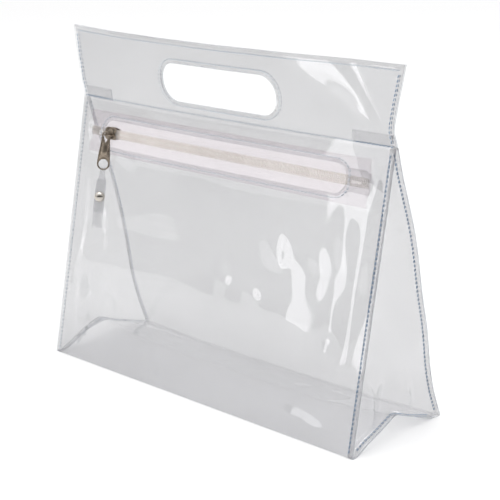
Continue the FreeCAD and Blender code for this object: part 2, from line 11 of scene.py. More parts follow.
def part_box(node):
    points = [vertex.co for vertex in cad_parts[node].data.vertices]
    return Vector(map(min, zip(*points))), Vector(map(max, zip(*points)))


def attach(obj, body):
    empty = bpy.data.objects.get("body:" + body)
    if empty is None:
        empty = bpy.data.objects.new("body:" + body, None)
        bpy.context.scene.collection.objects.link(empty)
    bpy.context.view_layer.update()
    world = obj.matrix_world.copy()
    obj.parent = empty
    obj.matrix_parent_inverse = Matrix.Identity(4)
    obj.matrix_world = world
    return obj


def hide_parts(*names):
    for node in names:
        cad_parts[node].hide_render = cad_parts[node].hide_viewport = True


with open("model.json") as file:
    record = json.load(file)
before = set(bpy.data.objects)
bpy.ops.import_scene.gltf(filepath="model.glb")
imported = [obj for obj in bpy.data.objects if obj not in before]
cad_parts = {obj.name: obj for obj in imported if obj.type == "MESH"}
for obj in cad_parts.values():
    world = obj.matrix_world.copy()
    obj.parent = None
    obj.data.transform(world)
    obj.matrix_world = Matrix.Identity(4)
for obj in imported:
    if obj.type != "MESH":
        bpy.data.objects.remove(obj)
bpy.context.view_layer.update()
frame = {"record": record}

MM = 0.001
scene = bpy.context.scene

# ------------------------------------------------------------------ sizes, in millimetres
# The same frame as the CAD model: X to the right, front towards -Y, Z up from the floor.

def node_box(name):
    """A CAD node's lowest and highest corners, in millimetres."""
    low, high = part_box(name)
    return [c / MM for c in low], [c / MM for c in high]


def joint_place(name):
    """Where a joint of the CAD model turns, in millimetres."""
    joints = frame["record"]["behaviour"]["joints"]
    return [c / MM for c in next(j["pos_m"] for j in joints if j["name"] == name)]


HALF_TOP = node_box("body_sheet")[1][0]            # half width of the flared top edge
TOP_Z = node_box("body_sheet")[1][2]
HALF_WIDTH = node_box("gusset_right")[1][0]        # half width of the panels
SEAM_Z = node_box("thread_cross_seam")[0][2] - 0.2
FOOT_Y = 45.0            # the lower folds stand this far in front of and behind the middle
SEAM_FRONT = 3.8         # and the front panel's top this far in front of it
PANEL = math.hypot(FOOT_Y - SEAM_FRONT, SEAM_Z)      # length up the front panel
LEAN = math.atan2(FOOT_Y - SEAM_FRONT, SEAM_Z)
FILM = 0.4
PLY_GAP = 0.9            # room between the handle's two plies
STEP = 2.5               # spacing of the film's mesh

FOLD_START = 1.6         # a lower fold begins this far up its panel
FOLD_REACH = 43.6        # and ends this far from the base's middle
FLOOR_GAP = 0.02

TAPE_LENGTH = 270.0
ZIP_MIDDLE = sum(corner[0] for corner in node_box("zip_tape_upper")) / 2
TAPE_X = (ZIP_MIDDLE - TAPE_LENGTH / 2, ZIP_MIDDLE + TAPE_LENGTH / 2)
ZIP_RISE = 176.5         # up the front panel from its lower fold
WINDOW = (236.0, 20.0)
SLOT = (109.0, 28.0)
SLOT_Z = 219.0
SLIDER_X = sum(corner[0] for corner in node_box("slider_body")) / 2


def smooth(t):
    """Eases 0 to 1, and holds outside."""
    t = np.clip(t, 0.0, 1.0)
    return t * t * (3 - 2 * t)


def bump(x, y, cx, cy, rx, ry, turn=0.0):
    """A round hill of height 1 with half sizes rx and ry, turned by an angle in degrees."""
    a = math.radians(turn)
    u = (x - cx) * math.cos(a) + (y - cy) * math.sin(a)
    v = -(x - cx) * math.sin(a) + (y - cy) * math.cos(a)
    return np.exp(-(u / rx) ** 2 - (v / ry) ** 2)


def waves(x, y, seed, count=10, longest=90.0, shortest=28.0):
    """A smooth uneven surface from a few long waves, between about -1 and 1."""
    rng = np.random.default_rng(seed)
    total = 0.0
    for _ in range(count):
        length = rng.uniform(shortest, longest)
        angle = rng.uniform(0, math.pi)
        phase = rng.uniform(0, 2 * math.pi)
        total = total + (length / longest) * np.sin(
            2 * math.pi * (x * math.cos(angle) + y * math.sin(angle)) / length + phase)
    return total / (count ** 0.5)


# ------------------------------------------------------------------ the film's surfaces

# The handle's top edge bows forward between its ends, most of all left of its middle.
BOW_AT = [-157, -134, -108, -84, -60, -20, 4, 27, 54, 79, 103, 125, 147, 157]
BOW = [0, 3.6, 7.4, 10.0, 11.4, 11.6, 11.2, 10.4, 9.1, 7.6, 5.8, 3.6, 1.2, 0]


def bow(x):
    wide = np.linspace(-HALF_TOP, HALF_TOP, 158)
    rough = np.interp(wide, BOW_AT, BOW)
    kernel = np.hanning(17)
    padded = np.pad(rough, 8, mode="reflect", reflect_type="odd")
    return np.interp(x, wide, np.convolve(padded, kernel / kernel.sum(), mode="valid"))


def seam_y(x):
    """The front ply's outer face along the cross seam."""
    return -2.0 - 0.38 * bow(x)


def handle_edge(z, side):
    """Half width of the handle's flared ends."""
    if side > 0:
        return np.interp(z, [197, 200, 206, 212, 225, 237, 250],
                         [150, 149.6, 147.6, 148.0, 150.9, 153.8, 156.6])
    return np.interp(z, [197, 200, 206, 219, 234, 250], [150, 150.2, 151.4, 153.6, 155.6, 156.8])


FAN = (149.0, SEAM_Z + 2)     # the corner that the handle's facets fan out from


def handle_wrinkle(x, z):
    """Creases that both plies of the handle share."""
    t = smooth((z - SEAM_Z) / 20)
    total = 0.45 * waves(x, z, 3, longest=70, shortest=25) * t
    # a flat facet fans out from the right end of the cross seam between two straight folds
    rise = np.maximum(z - FAN[1], 0.0)
    spread = (FAN[0] - x) / np.maximum(rise, 1.0)
    facet = np.interp(spread, [0.0, 0.66, 0.78, 1.78, 2.05], [0, 1, 0.96, 0.06, 0])
    return total - 2.9 * facet * rise / 50


def handle_front(x, z):
    t = (z - SEAM_Z) / (TOP_Z - SEAM_Z)
    y = -2.0 - 1.4 * t - bow(x) * (0.38 + 0.62 * t) - handle_wrinkle(x, z)
    return x, y, z


def handle_back(x, z):
    x, y, z = handle_front(x, z)
    part = 0.5 * waves(x, z, 8, longest=60, shortest=26) * smooth((z - SEAM_Z - 6) / 12)
    part = part * smooth((TOP_Z - 6 - z) / 10)
    return x, y + FILM + PLY_GAP + 0.35 + 0.35 * part, z


# Small dents and hills of the front film: middle across and up the panel, half width, half
# height, turn in degrees, and height in millimetres.
DIMPLES = [
    (19, 93, 8, 7, 10, 1.0), (46, 89, 9, 6, -25, 0.9), (64, 118, 8, 13, 20, 1.5),
    (80, 104, 7, 10, 25, 0.9), (79, 80, 12, 11, 0, 0.8), (119, 139, 6, 15, 3, 1.1),
    (118, 87, 5, 14, 4, 0.9), (116, 62, 5, 8, 0, 0.8), (102, 103, 5, 5, 0, 0.6),
    (66, 8, 9, 5, -20, 0.8), (112, 10, 16, 6, -12, 1.2), (92, 14, 7, 5, 10, 0.7),
    (-91, 160, 7, 4, -14, 1.2), (-106, 110, 5, 14, 8, 1.3), (-128, 50, 6, 12, 10, 1.0),
    (-133, 78, 5, 15, -8, 0.9), (-118, 28, 10, 8, 20, 0.8), (100, 120, 6, 8, 30, 0.5),
]


# How a push moves a leaning panel outward and upward, per millimetre.
FRONT_OUT = (0.979, 0.2045)
BACK_OUT = (0.974, 0.226)


def front_push(x, s):
    """How far the front panel stands out of its plane, at a height s up the panel."""
    middle = np.sin(math.pi * np.clip(s / PANEL, 0, 1))
    edge = smooth((HALF_WIDTH - np.abs(x)) / 30)
    low = smooth((105 - s) / 30)
    push = (1.4 * low - 0.5) * middle * edge
    push = push + 0.34 * waves(x, s, 21, longest=110, shortest=38) * edge * smooth(s / 40)
    for cx, cy, rx, ry, turn, high in DIMPLES:
        push = push + high * bump(x, s, cx, cy, rx, ry, turn)
    # the film draws in beside the end panels, more on the left, and stands off at the strap
    push = push - 1.5 * bump(x, s, -137, 88, 6, 78, 2) - 1.3 * bump(x, s, 133, 105, 7, 60, -3)
    push = push - 0.8 * smooth((s - 96) / 12) * smooth((168 - s) / 12) * edge
    # the coils' tails lift the film beyond the ends of the zip's window
    for start, end in ((-140, -122), (114, 134)):
        tail = smooth((x - start) / 4) * smooth((end - x) / 4)
        push = push + 1.9 * tail * np.exp(-((s - ZIP_RISE) / 4.5) ** 2)
    return push


def front_panel(x, s):
    t = s / PANEL
    y = -FOOT_Y + t * (seam_y(x) + FOOT_Y)
    z = SEAM_Z * t
    push = front_push(x, s) * smooth(t * 12) * smooth((1 - t) * 14)
    return x, y - push * FRONT_OUT[0], z + push * FRONT_OUT[1]


def base_rise(x):
    """Height of the crease along the base, which stands up more at its ends."""
    return 8.5 + 8.5 * (np.abs(x) / HALF_WIDTH) ** 3


def rear_flare(x):
    """How far the rear fold kicks out at its ends."""
    return 1.0 + 4.6 * smooth((np.abs(x) - 70) / 80)


def base_panel(x, y):
    """The base: two flat strips on the floor and a crease between them."""
    flat = smooth((np.abs(y) - 36) / 8)
    peak = base_rise(x) * np.clip(1 - np.sqrt(y * y + 4) / 40, 0, 1) * (1 - flat)
    rough = 0.5 * waves(x, y, 33, longest=60, shortest=22)
    wrinkle = rough * (1 - flat) * smooth((40 - np.abs(y)) / 14)
    return x, y + rear_flare(x) * smooth((y - 15) / 28), np.maximum(peak + wrinkle, 0) + FLOOR_GAP


def back_panel(x, s):
    t = s / PANEL
    top = seam_y(x) + FILM + PLY_GAP + 0.75
    y = FOOT_Y + t * (top - FOOT_Y) + rear_flare(x) * np.clip(1 - t * 4.2, 0, 1) ** 1.6
    z = SEAM_Z * t
    middle = np.sin(math.pi * np.clip(t, 0, 1))
    edge = smooth((HALF_WIDTH - np.abs(x)) / 40)
    push = (5.2 * middle + 1.6 * middle * edge) * smooth(3 * t - 0.2)
    push = push + 0.9 * waves(x, s, 45, longest=120, shortest=40) * smooth(t * 8) * smooth((1 - t) * 8)
    return x, y + push * BACK_OUT[0], z + push * BACK_OUT[1]


# ------------------------------------------------------------------ meshes


def new_object(name, mesh, body="bag", material=None, replaces=()):
    piece = bpy.data.objects.new(name, mesh)
    scene.collection.objects.link(piece)
    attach(piece, body)
    if material is not None:
        mesh.materials.clear()
        mesh.materials.append(material)
    if replaces:
        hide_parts(*replaces)
    return piece


def stacked(parts, axis=-1):
    """One array of points from their x, y and z, some of which may be single numbers."""
    return np.stack(np.broadcast_arrays(*parts), axis=axis)


def grid_faces(wide, tall):
    """The squares of a grid whose points come row by row."""
    return [[j * wide + i, j * wide + i + 1, (j + 1) * wide + i + 1, (j + 1) * wide + i]
            for j in range(tall - 1) for i in range(wide - 1)]


def ring_faces(rings, sides, first=0, closed=False):
    """The squares of a tube whose points come ring by ring."""
    faces = []
    for i in range(rings if closed else rings - 1):
        here = first + i * sides
        there = first + (i + 1) % rings * sides
        for a in range(sides):
            b = (a + 1) % sides
            faces.append([here + a, here + b, there + b, there + a])
    return faces


def tube_faces(rings, sides, first=0):
    """A tube's squares and its two closed ends."""
    last = first + (rings - 1) * sides
    ends = [[first + a for a in range(sides)][::-1], [last + a for a in range(sides)]]
    return ring_faces(rings, sides, first) + ends


def face_outward(mesh):
    maker = bmesh.new()
    maker.from_mesh(mesh)
    bmesh.ops.recalc_face_normals(maker, faces=maker.faces)
    maker.to_mesh(mesh)
    maker.free()


def mesh_from(name, points, faces, smooth_shade=True):
    mesh = bpy.data.meshes.new(name)
    mesh.from_pydata([tuple(p) for p in np.asarray(points) * MM], [], [tuple(f) for f in faces])
    mesh.validate()
    if smooth_shade:
        mesh.polygons.foreach_set("use_smooth", [True] * len(mesh.polygons))
    mesh.update()
    return mesh


def stadium_points(cx, cy, length, height, step=1.6):
    """Points round a long hole with round ends."""
    r = height / 2
    half = length / 2 - r
    count = max(int(math.pi * r / step), 12)
    points = []
    for side in (1, -1):
        for i in range(count + 1):
            a = side * math.pi / 2 - math.pi * i / count
            points.append((cx + side * half + r * math.cos(a), cy + r * math.sin(a)))
        if side == 1:
            points += [(cx + t, cy - r) for t in np.arange(half - STEP, -half + STEP / 2, -STEP)]
        else:
            points += [(cx + t, cy + r) for t in np.arange(-half + STEP, half - STEP / 2, STEP)]
    return points


def inside_stadium(x, y, cx, cy, length, height, grow=0.0):
    r = height / 2
    half = length / 2 - r
    dx = np.maximum(np.abs(x - cx) - half, 0)
    return np.hypot(dx, y - cy) < r + grow


def ring_row(count, first=0):
    """The edges of a closed loop of points."""
    return [(first + i, first + (i + 1) % count) for i in range(count)]


def holed_patch(border, hole, surface, grid_x, grid_y, inside_border):
    """A triangulated patch with a long hole. border is a closed list of flat points."""
    cx, cy, length, height = hole
    rim = stadium_points(*hole)
    gx, gy = np.meshgrid(grid_x, grid_y)
    gx, gy = gx.ravel(), gy.ravel()
    keep = inside_border(gx, gy) & ~inside_stadium(gx, gy, cx, cy, length, height, 0.6 * STEP)
    flat = list(border) + rim + list(zip(gx[keep], gy[keep]))
    edges = ring_row(len(border)) + ring_row(len(rim), len(border))
    out = delaunay_2d_cdt([Vector(p) for p in flat], edges, [], 1, 1e-4)
    points = np.array([tuple(v) for v in out[0]])
    faces = []
    for face in out[2]:
        mid = points[list(face)].mean(axis=0)
        if not inside_stadium(mid[0], mid[1], cx, cy, length, height, -0.01):
            faces.append(list(face))
    x, y, z = surface(points[:, 0], points[:, 1])
    return np.stack([x, y, z], axis=1), faces


def grid_patch(surface, us, vs):
    u, v = np.meshgrid(us, vs)
    x, y, z = surface(u, v)
    points = np.stack([np.broadcast_to(a, u.shape).ravel() for a in (x, y, z)], axis=1)
    return points, grid_faces(len(us), len(vs))


def weld(name, patches, outward=None, looks=None):
    """One mesh from several patches, joined where their edges meet, each facing its own way."""
    mesh_maker = bmesh.new()
    for number, (points, faces) in enumerate(patches):
        made = [mesh_maker.verts.new(tuple(p)) for p in points * MM]
        for face in faces:
            new_face = mesh_maker.faces.new([made[i] for i in face])
            new_face.normal_update()
            if outward and new_face.normal.dot(Vector(outward[number])) < 0:
                new_face.normal_flip()
            if looks:
                new_face.material_index = looks[number]
    bmesh.ops.remove_doubles(mesh_maker, verts=mesh_maker.verts, dist=0.02 * MM)
    loose = [v for v in mesh_maker.verts if not v.link_faces]
    bmesh.ops.delete(mesh_maker, geom=loose, context="VERTS")
    mesh = bpy.data.meshes.new(name)
    mesh_maker.to_mesh(mesh)
    mesh_maker.free()
    mesh.polygons.foreach_set("use_smooth", [True] * len(mesh.polygons))
    return mesh


def thicken(piece, thickness=FILM, offset=-1.0, edge=None):
    """Gives a sheet its thickness, with the next material slot on its cut edge, and applies it."""
    solid = piece.modifiers.new("film", "SOLIDIFY")
    solid.thickness = thickness * MM
    solid.offset = offset
    solid.use_even_offset = True
    solid.use_quality_normals = True
    if edge is not None:
        piece.data.materials.append(edge)
    if len(piece.data.materials) > 1:
        solid.material_offset_rim = 1
    apply_modifiers(piece)


def apply_modifiers(piece):
    depsgraph = bpy.context.evaluated_depsgraph_get()
    mesh = bpy.data.meshes.new_from_object(piece.evaluated_get(depsgraph), depsgraph=depsgraph)
    old = piece.data
    piece.modifiers.clear()
    piece.data = mesh
    mesh.name = old.name
    bpy.data.meshes.remove(old)


# ------------------------------------------------------------------ materials


def material(name):
    made = bpy.data.materials.new(name)
    made.use_nodes = True
    made.node_tree.nodes.clear()
    return made, made.node_tree


def feed(tree, socket, value):
    """Sets a node's input to a value, or links it to the output that drives it."""
    if isinstance(value, bpy.types.NodeSocket):
        tree.links.new(value, socket)
    else:
        socket.default_value = value


def node(tree, kind, **inputs):
    made = tree.nodes.new(kind)
    for key, value in inputs.items():
        socket = key.replace("_", " ")
        if socket in made.inputs:
            feed(tree, made.inputs[socket], value)
        else:
            setattr(made, key, value)
    return made


def texture(tree, kind, **inputs):
    """A texture measured in the object's own metres. Gives its output."""
    made = node(tree, kind, **inputs)
    place = node(tree, "ShaderNodeTexCoord")
    tree.links.new(place.outputs["Object"], made.inputs["Vector"])
    return made.outputs["Fac"]


def noise(tree, scale, detail=2.0, **inputs):
    return texture(tree, "ShaderNodeTexNoise", Scale=scale, Detail=detail, **inputs)


def ramp(tree, source, *stops):
    """Colours, or greys given as one number, at places along a source from 0 to 1."""
    made = node(tree, "ShaderNodeValToRGB", Fac=source)
    while len(made.color_ramp.elements) < len(stops):
        made.color_ramp.elements.new(0.5)
    for element, (at, colour) in zip(made.color_ramp.elements, stops):
        element.position = at
        element.color = (*colour, 1) if isinstance(colour, tuple) else (colour, colour, colour, 1)
    return made.outputs["Color"]


def maths(tree, operation, *values):
    made = node(tree, "ShaderNodeMath", operation=operation)
    for socket, value in zip(made.inputs, values):
        feed(tree, socket, value)
    return made.outputs[0]


def mixed_colour(tree, factor, first, second, **inputs):
    made = node(tree, "ShaderNodeMix", data_type="RGBA", Factor=factor, **inputs)
    feed(tree, made.inputs[6], first)
    feed(tree, made.inputs[7], second)
    return made.outputs[2]


def mixed_shader(tree, share, first, second):
    """The first shader, with a share of the second."""
    made = node(tree, "ShaderNodeMixShader", Fac=share)
    tree.links.new(first.outputs[0], made.inputs[1])
    tree.links.new(second.outputs[0], made.inputs[2])
    return made


def relief(tree, height, strength, distance):
    made = node(tree, "ShaderNodeBump", Strength=strength, Distance=distance, Height=height)
    return made.outputs["Normal"]


def see_through(tree, colour):
    return node(tree, "ShaderNodeBsdfTransparent", Color=colour)


def show(tree, shader, kind="Material"):
    node(tree, "ShaderNodeOutput" + kind, Surface=shader.outputs[0])


def linear(r, g, b):
    """A colour from 0 to 255 as the eye sees it, in the renderer's own scale."""
    return tuple((c / 255 / 12.92) if c / 255 <= 0.04045 else ((c / 255 + 0.055) / 1.055) ** 2.4
                 for c in (r, g, b))


def film_material(name, clear=0.893, haze=0.010):
    """Clear soft film: it lets light through with a grey tint and mirrors by its angle."""
    made, tree = material(name)
    cloud = noise(tree, 9.0, 3.0, Roughness=0.55)
    light = (clear, clear, clear + 0.003)
    through = see_through(tree, ramp(
        tree, cloud, (0.35, tuple(c * 0.985 for c in light)), (0.65, light)))
    mirror = node(tree, "ShaderNodeBsdfPrincipled", Base_Color=(0.97, 0.97, 0.98, 1), Metallic=1.0,
                  Roughness=ramp(tree, cloud, (0.3, 0.025), (0.75, 0.06)),
                  Normal=relief(tree, noise(tree, 160.0), 0.05, 0.0001))
    # a thin sheet mirrors alike from both sides: 4 percent face on, all of it at a glance
    facing = node(tree, "ShaderNodeLayerWeight", Blend=0.5)
    glance = maths(tree, "POWER", facing.outputs["Facing"], 5.0)
    gloss = mixed_shader(tree, maths(tree, "MULTIPLY_ADD", glance, 0.96, 0.04), through, mirror)
    veil = node(tree, "ShaderNodeBsdfDiffuse", Color=(0.80, 0.81, 0.83, 1))
    show(tree, mixed_shader(tree, haze, gloss, veil))
    return made


def edge_material():
    """The film's cut edge, which scatters light and looks whiter than its faces."""
    made, tree = material("film_cut_edge")
    body = node(tree, "ShaderNodeBsdfPrincipled", Roughness=0.3, Base_Color=ramp(
        tree, noise(tree, 500.0), (0.3, (0.62, 0.65, 0.69)), (0.7, (0.86, 0.88, 0.9))))
    show(tree, mixed_shader(tree, 0.3, see_through(tree, (0.86, 0.88, 0.9, 1)), body))
    return made


def thread_material(name, dark, light, sheer=0.0):
    """Spun polyester thread between a darker and a lighter blue."""
    made, tree = material(name)
    cloth = node(tree, "ShaderNodeBsdfPrincipled", Roughness=0.55, Sheen_Weight=0.3,
                 Specular_IOR_Level=0.35,
                 Base_Color=ramp(tree, noise(tree, 30.0), (0.3, linear(*dark)), (0.7, linear(*light))),
                 Normal=relief(tree, noise(tree, 420.0), 0.5, 0.0001))
    show(tree, mixed_shader(tree, sheer, cloth, see_through(tree, (0.97, 0.98, 0.99, 1))))
    return made


def tape_material():
    """An open ribbed weave that lets most of the light through."""
    made, tree = material("zip_tape_weave")
    rib = texture(tree, "ShaderNodeTexWave", Scale=330.0, Distortion=0.6, bands_direction="X")
    weft = texture(tree, "ShaderNodeTexWave", Scale=420.0, Distortion=0.6, bands_direction="Z")
    weave = maths(tree, "MULTIPLY", rib, weft)
    colour = ramp(tree, noise(tree, 40.0, 3.0), (0.3, linear(226, 218, 222)), (0.7, linear(240, 233, 236)))
    # painted shade: the cloth's colour is darkened in the weave's hollows, where rib and weft are low
    weave_hollow_shade = ramp(tree, weave, (0.0, (0.62, 0.6, 0.62)), (0.5, 1.0))
    cloth = node(tree, "ShaderNodeBsdfPrincipled", Roughness=0.85, Sheen_Weight=0.25,
                 Base_Color=mixed_colour(tree, 0.25, colour, weave_hollow_shade, blend_type="MULTIPLY"),
                 Normal=relief(tree, weave, 0.6, 0.0002))
    show(tree, mixed_shader(tree, ramp(tree, weave, (0.0, 0.93), (0.6, 0.86)), cloth,
                            see_through(tree, (0.985, 0.965, 0.975, 1))))
    return made


def nylon_material():
    """Milky nylon thread."""
    made, tree = material("coil_nylon")
    nylon = node(tree, "ShaderNodeBsdfPrincipled", Roughness=0.38, Subsurface_Weight=0.15,
                 Subsurface_Radius=(0.001, 0.001, 0.001), Base_Color=ramp(
                     tree, noise(tree, 60.0), (0.3, linear(230, 226, 220)), (0.7, linear(244, 241, 236))))
    show(tree, mixed_shader(tree, 0.68, nylon, see_through(tree, (0.98, 0.972, 0.957, 1))))
    return made


def metal_material(name, light, dark, low, high, wear=0.6):
    """Plated metal with darker hollows and brighter worn edges."""
    made, tree = material(name)
    patch = noise(tree, 260.0, 4.0, Roughness=0.6)
    shape = node(tree, "ShaderNodeNewGeometry")
    edge = ramp(tree, shape.outputs["Pointiness"], (0.46, 0.0), (0.56, 1.0))
    worn = mixed_colour(tree, maths(tree, "MULTIPLY", edge, wear),
                        ramp(tree, patch, (0.3, dark), (0.7, light)),
                        (*(min(1, c * 1.7) for c in light), 1))
    metal = node(tree, "ShaderNodeBsdfPrincipled", Metallic=1.0, Base_Color=worn,
                 Roughness=ramp(tree, patch, (0.3, low), (0.7, high)),
                 Normal=relief(tree, noise(tree, 900.0), 0.15, 0.00005))
    show(tree, metal)
    return made


clear_film = film_material("clear_film")
gusset_film = film_material("gusset_film", clear=0.915, haze=0.006)
strap_film = film_material("strap_film", clear=0.93, haze=0.02)
# painted light: the base is the same film as the rest of the sheet, given a clearer tint so that the bag's
# shadow on the floor under it looks lighter
shadow_lifted_base_film = film_material("shadow_lifted_base_film", clear=0.975, haze=0.006)
film_edge = edge_material()
blue_thread = thread_material("thread_blue", (84, 116, 150), (124, 152, 182))
pale_thread = thread_material("thread_pale_blue", (198, 210, 222), (224, 231, 238), sheer=0.45)
tape_cloth = tape_material()
coil_nylon = nylon_material()
slider_metal = metal_material("antique_nickel", linear(128, 118, 106), linear(70, 62, 54), 0.2, 0.36)
rivet_metal = metal_material("polished_nickel", linear(186, 181, 174), linear(136, 131, 124), 0.05, 0.12)
METALS = {"slider_metal": slider_metal, "rivet_metal": rivet_metal}

# ------------------------------------------------------------------ the folded film sheet

xs = np.linspace(-HALF_WIDTH, HALF_WIDTH, int(2 * HALF_WIDTH / STEP) + 1)


def handle_patch(surface):
    zs = np.linspace(SEAM_Z, TOP_Z, 23)
    right = [(float(handle_edge(z, 1)), z) for z in zs]
    left = [(-float(handle_edge(z, -1)), z) for z in zs]
    top = [(x, TOP_Z) for x in np.linspace(left[-1][0], right[-1][0], 127)[1:-1]]
    border = [(x, SEAM_Z) for x in xs] + right[1:] + top[::-1] + left[::-1][:-1]

    def inside(x, z):
        near = 0.6 * STEP
        return ((z > SEAM_Z + near) & (z < TOP_Z - near)
                & (x < handle_edge(z, 1) - near) & (x > -handle_edge(z, -1) + near))
    return holed_patch(border, (0, SLOT_Z, *SLOT), surface,
                       np.arange(-157.5, 158, STEP), np.arange(SEAM_Z, TOP_Z, STEP), inside)


def front_patch():
    ss = np.linspace(FOLD_START, PANEL, 81)
    border = ([(x, PANEL) for x in xs] + [(HALF_WIDTH, s) for s in ss[::-1][1:]]
              + [(x, ss[0]) for x in xs[::-1][1:]] + [(-HALF_WIDTH, s) for s in ss[1:-1]])

    def inside(x, s):
        near = 0.6 * STEP
        return (np.abs(x) < HALF_WIDTH - near) & (s > ss[0] + near) & (s < PANEL - near)
    return holed_patch(border, (ZIP_MIDDLE, ZIP_RISE, *WINDOW), front_panel,
                       np.arange(-150, 151, STEP), np.arange(0, PANEL, STEP), inside)


def lower_fold(side):
    """A rounded fold between an upright panel and the base."""
    def surface(x, t):
        panel, flare = (front_panel, 0.0) if side < 0 else (back_panel, rear_flare(x))
        start = stacked(panel(x, FOLD_START), 0)
        corner = stacked((x, side * FOOT_Y + flare, FLOOR_GAP), 0)
        end = stacked(base_panel(x, side * FOLD_REACH), 0)
        return tuple((1 - t) ** 2 * start + 2 * t * (1 - t) * corner + t ** 2 * end)
    return surface


base_ys = np.concatenate([np.linspace(-FOLD_REACH, -4, 20), np.linspace(-3, 3, 5),
                          np.linspace(4, FOLD_REACH, 20)])
film_mesh = weld("film_sheet", [
    handle_patch(handle_front),
    front_patch(),
    grid_patch(lower_fold(-1), xs, np.linspace(0, 1, 6)),
    grid_patch(base_panel, xs, base_ys),
    grid_patch(lower_fold(1), xs, np.linspace(0, 1, 6)),
    grid_patch(back_panel, xs, np.linspace(FOLD_START, PANEL, 81)),
    handle_patch(handle_back),
], outward=[(0, -1, 0), (0, -1, 0), (0, -1, -1), (0, 0, -1), (0, 1, -1), (0, 1, 0), (0, 1, 0)],
    looks=[0, 0, 0, 2, 0, 0, 0])
film_sheet = new_object("film_sheet", film_mesh, replaces=["body_sheet"])
# the base's faces take the clearer copy of the film, which is painted light against the shadow under the
# bag
for look in (clear_film, film_edge, shadow_lifted_base_film, film_edge):
    film_mesh.materials.append(look)
thicken(film_sheet)


# ------------------------------------------------------------------ the end panels

WEB_X = 145.2            # the end panels stand this far from the middle
TURNED = 4.6             # width of their turned edges
NEAR = 0.05              # room between two films that touch
PLY_ROOM = 0.25          # room between the tab and the plies round it
TAB_X = (115.5, 147.0)
TAB_Z = (196.0, 205.0)
GORE_AREA = 950          # of the gore under the right tab, judged from its corners


def front_inner(z, x):
    """y of the front panel's inner face."""
    s = z / SEAM_Z * PANEL
    return float(front_panel(np.array(float(x)), np.array(s))[1]) + FILM


def back_inner(z, x):
    """y of the back panel's inner face."""
    s = z / SEAM_Z * PANEL
    return float(back_panel(np.array(float(x)), np.array(s))[1]) - FILM


def base_inner(y, x):
    """z of the base's inner face."""
    y = np.clip(y, -44, 44)
    return float(base_panel(np.array(float(x)), np.array(float(y)))[2]) + FILM


def web_grid(side):
    """The end panel's web as a curved patch between the front, back and base."""
    n_w, n_h = 37, 81
    points = []
    for j in range(n_h):
        hgt = j / (n_h - 1)
        for i in range(n_w):
            w = i / (n_w - 1)
            zf = 0.6 + hgt * (SEAM_Z - 1.2)
            front = np.array([front_inner(zf, side * WEB_X) + NEAR, zf])
            back = np.array([back_inner(zf, side * WEB_X) - NEAR, zf])
            y0 = -44.2 + 88.4 * w
            bottom = np.array([y0, base_inner(y0, side * WEB_X)])
            corner_f = np.array([front_inner(0.6, side * WEB_X), 0.6])
            corner_b = np.array([back_inner(0.6, side * WEB_X), 0.6])
            flat = (1 - w) * front + w * back
            edge = bottom - ((1 - w) * corner_f + w * corner_b)
            flat = flat + edge * (1 - hgt) ** 2.2
            points.append((side * WEB_X, flat[0], flat[1], w, hgt))
    points = np.array(points)
    w, hgt = points[:, 3], points[:, 4]
    inner = np.sin(math.pi * w) ** 0.8
    # a shallow fold down the middle, and creases that fan out from the base's crease
    dent = 2.6 * inner * np.sin(math.pi * np.clip(hgt, 0, 1)) ** 0.7
    dent = dent + 4.5 * np.exp(-((w - 0.5) / 0.13) ** 2) * np.exp(-((hgt - 0.05) / 0.11) ** 2)
    fans = ((0.30, -0.5, 0.05, 0.09, 0.07, 3.4), (0.66, 0.9, 0.05, 0.07, 0.05, 3.4),
            (0.80, -1.1, 0.04, 0.12, 0.06, 2.0), (0.45, -1.4, 0.04, 0.16, 0.07, 1.8))
    for foot, slant, wide, high, tall, deep in fans:
        across = np.exp(-((w - foot - slant * hgt) / wide) ** 2)
        dent = dent - deep * across * np.exp(-((hgt - high) / tall) ** 2)
    dent = dent + 0.7 * waves(points[:, 1], points[:, 2], 50 + side, longest=70, shortest=26) * inner
    points[:, 0] -= side * dent
    return points[:, :3], grid_faces(n_w, n_h), n_w, n_h


def turned_edge(side, edge_points, direction):
    """A strip turned outward from the web's edge, lying on the inside of the sheet."""
    reaches = (0.0, 0.5, 1.6, 3.2, TURNED)
    points = []
    for reach in reaches:
        for (x, y, z) in edge_points:
            px = side * (WEB_X + reach)
            if direction == "front":
                py, pz = front_inner(z, px) + NEAR, z
            elif direction == "back":
                py, pz = back_inner(z, px) - NEAR, z
            else:
                py, pz = y, base_inner(y, px) + NEAR
            points.append((px, py, pz) if reach else (x, y, z))
    return np.array(points), grid_faces(len(edge_points), len(reaches))


